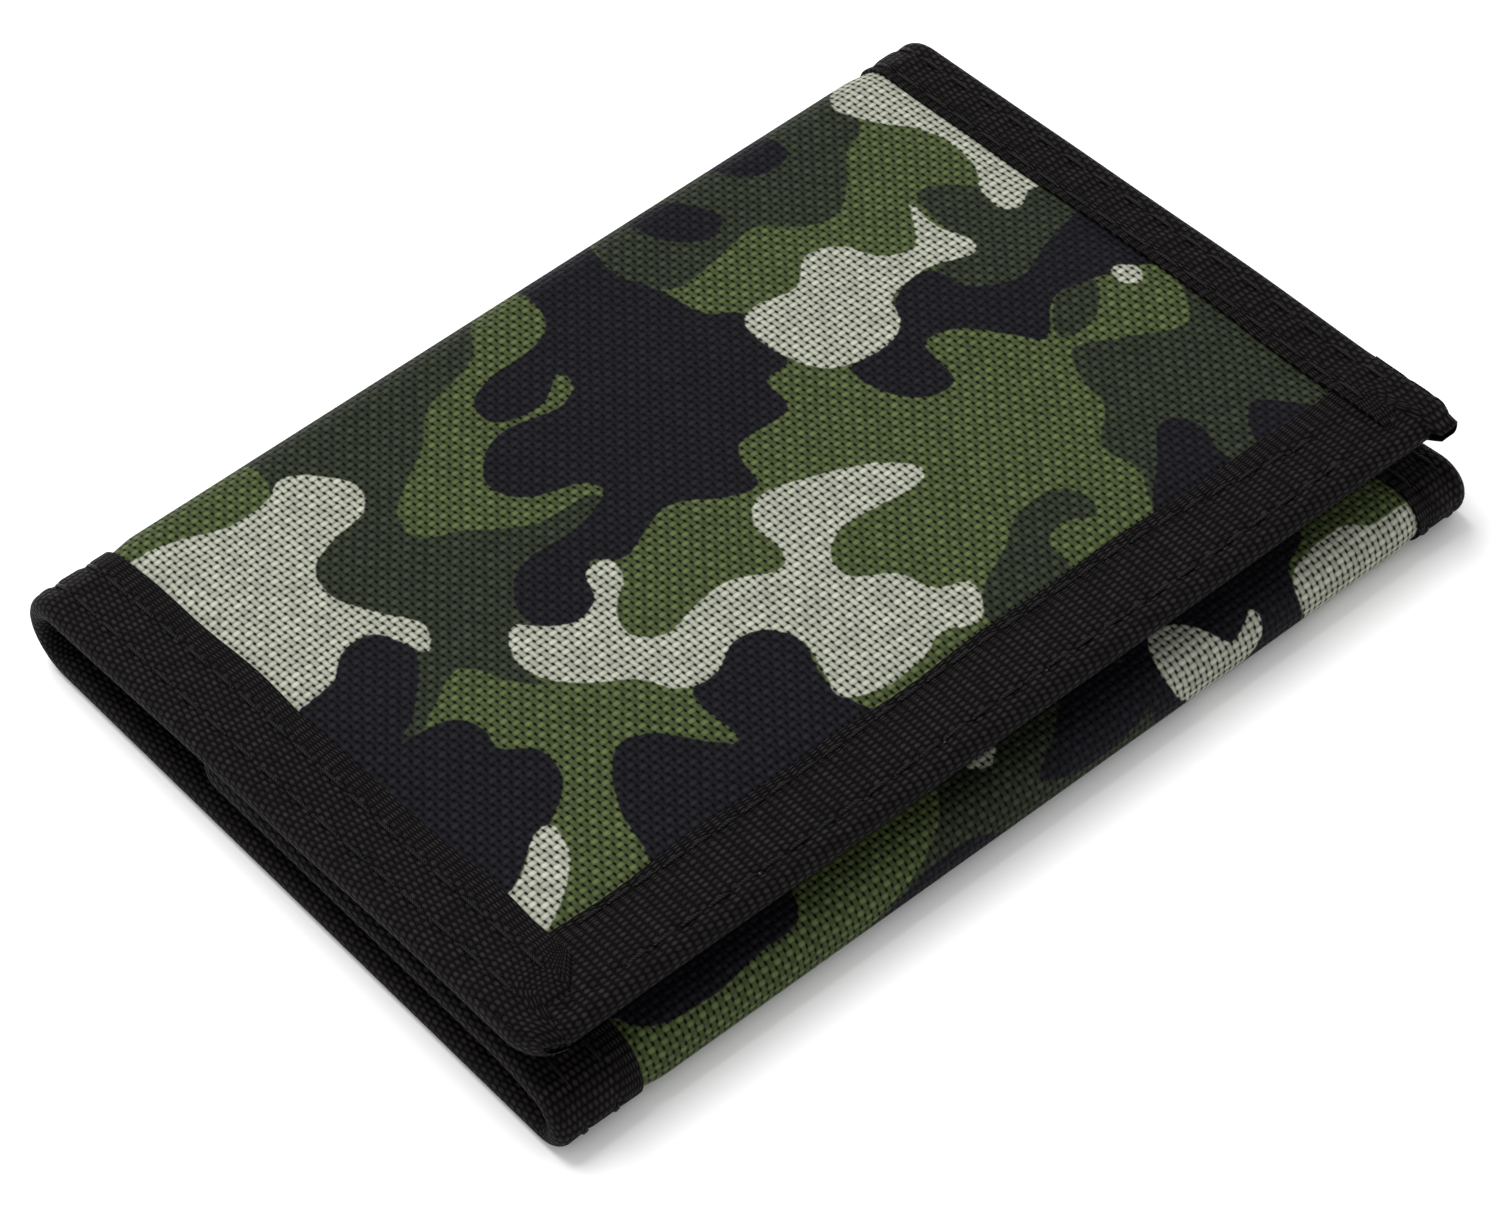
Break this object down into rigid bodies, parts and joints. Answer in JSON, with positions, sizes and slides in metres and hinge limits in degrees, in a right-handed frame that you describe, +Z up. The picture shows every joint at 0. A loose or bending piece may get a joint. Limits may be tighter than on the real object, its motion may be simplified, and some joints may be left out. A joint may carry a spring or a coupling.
{
  "type": "trifold wallet",
  "caption": "Closed trifold canvas wallet with bound edges: front and inner flaps fold out from a back panel with card pockets, bill pocket, photo window and zipped coin pocket",
  "frame": {"origin": "centre of the closed wallet's footprint, on the surface that it lies on", "axes": "X across the folds, from the front flap's fold to its free edge; Y along the folds, towards the bill pocket's mouth; Z up, out of the front flap's canvas"},
  "size_m": [0.0918, 0.125, 0.0157],
  "materials": {
    "camo_canvas": "printed woven polyester canvas, matt",
    "lining_cloth": "thin plain woven nylon lining, dull sheen",
    "binding_tape": "ribbed woven binding tape, matt",
    "hook_and_loop": "hook and loop fastener",
    "zip_tape": "herringbone zip tape",
    "zip_coil": "moulded nylon coil",
    "zip_metal": "dark lacquered zinc",
    "clear_vinyl": "clear soft vinyl sheet"
  },
  "bodies": {
    "back_panel": {"back_canvas": "camo_canvas", "back_lining": "lining_cloth", "back_binding_near": "binding_tape", "back_binding_far": "binding_tape", "bill_pocket_binding": "binding_tape", "card_pocket_rear": "lining_cloth", "card_pocket_middle": "lining_cloth", "card_pocket_front": "lining_cloth", "card_pocket_bindings": "binding_tape"},
    "front_fold": {"front_fold_canvas": "camo_canvas", "front_fold_lining": "lining_cloth", "front_fold_binding_near": "binding_tape", "front_fold_binding_far": "binding_tape"},
    "front_flap": {"front_canvas": "camo_canvas", "coin_pocket_strip": "lining_cloth", "coin_pocket_face": "lining_cloth", "front_binding_near": "binding_tape", "front_binding_far": "binding_tape", "front_binding_edge": "binding_tape", "hook_patch": "hook_and_loop", "zip_tape_left": "zip_tape", "zip_tape_right": "zip_tape", "zip_teeth_left": "zip_coil", "zip_teeth_right": "zip_coil", "zip_stops": "zip_metal"},
    "slider": {"zip_slider": "zip_metal"},
    "pull": {"zip_pull": "zip_metal"},
    "inner_fold": {"inner_fold_canvas": "camo_canvas", "inner_fold_lining": "lining_cloth", "inner_fold_binding_near": "binding_tape", "inner_fold_binding_far": "binding_tape"},
    "inner_flap": {"inner_canvas": "camo_canvas", "inner_lining": "lining_cloth", "inner_binding_near": "binding_tape", "inner_binding_far": "binding_tape", "inner_binding_tip": "binding_tape", "loop_patch": "hook_and_loop", "photo_window": "clear_vinyl", "photo_window_frame": "binding_tape"}
  },
  "joints": [
    {"name": "front_fold_turn", "type": "hinge", "parent": "back_panel", "child": "front_fold", "pos_m": [-0.04469, 0, 0.00121], "axis": [0, -1, 0], "range_deg": [0, 90]},
    {"name": "front_flap_turn", "type": "hinge", "parent": "front_fold", "child": "front_flap", "pos_m": [-0.04477, 0, 0.00994], "axis": [0, -1, 0], "range_deg": [0, 87]},
    {"name": "inner_fold_turn", "type": "hinge", "parent": "back_panel", "child": "inner_fold", "pos_m": [0.04503, 0, 0.00087], "axis": [0, 1, 0], "range_deg": [0, 45]},
    {"name": "inner_flap_turn", "type": "hinge", "parent": "inner_fold", "child": "inner_flap", "pos_m": [0.04503, 0, 0.00723], "axis": [0, 1, 0], "range_deg": [0, 45]},
    {"name": "zip_slide", "type": "slide", "parent": "front_flap", "child": "slider", "axis": [0, -1, 0], "range_m": [0, 0.084]},
    {"name": "pull_tab_swing", "type": "hinge", "parent": "slider", "child": "pull", "pos_m": [-0.03131, 0.042, 0.00697], "axis": [0.9986, 0, 0.0523], "range_deg": [0, 20]}
  ],
  "couplings": [
    {"joint": "front_flap_turn", "follows": "front_fold_turn", "ratio": 0.96667},
    {"joint": "inner_fold_turn", "follows": "front_fold_turn", "ratio": 0.5},
    {"joint": "inner_flap_turn", "follows": "front_fold_turn", "ratio": 0.5}
  ]
}
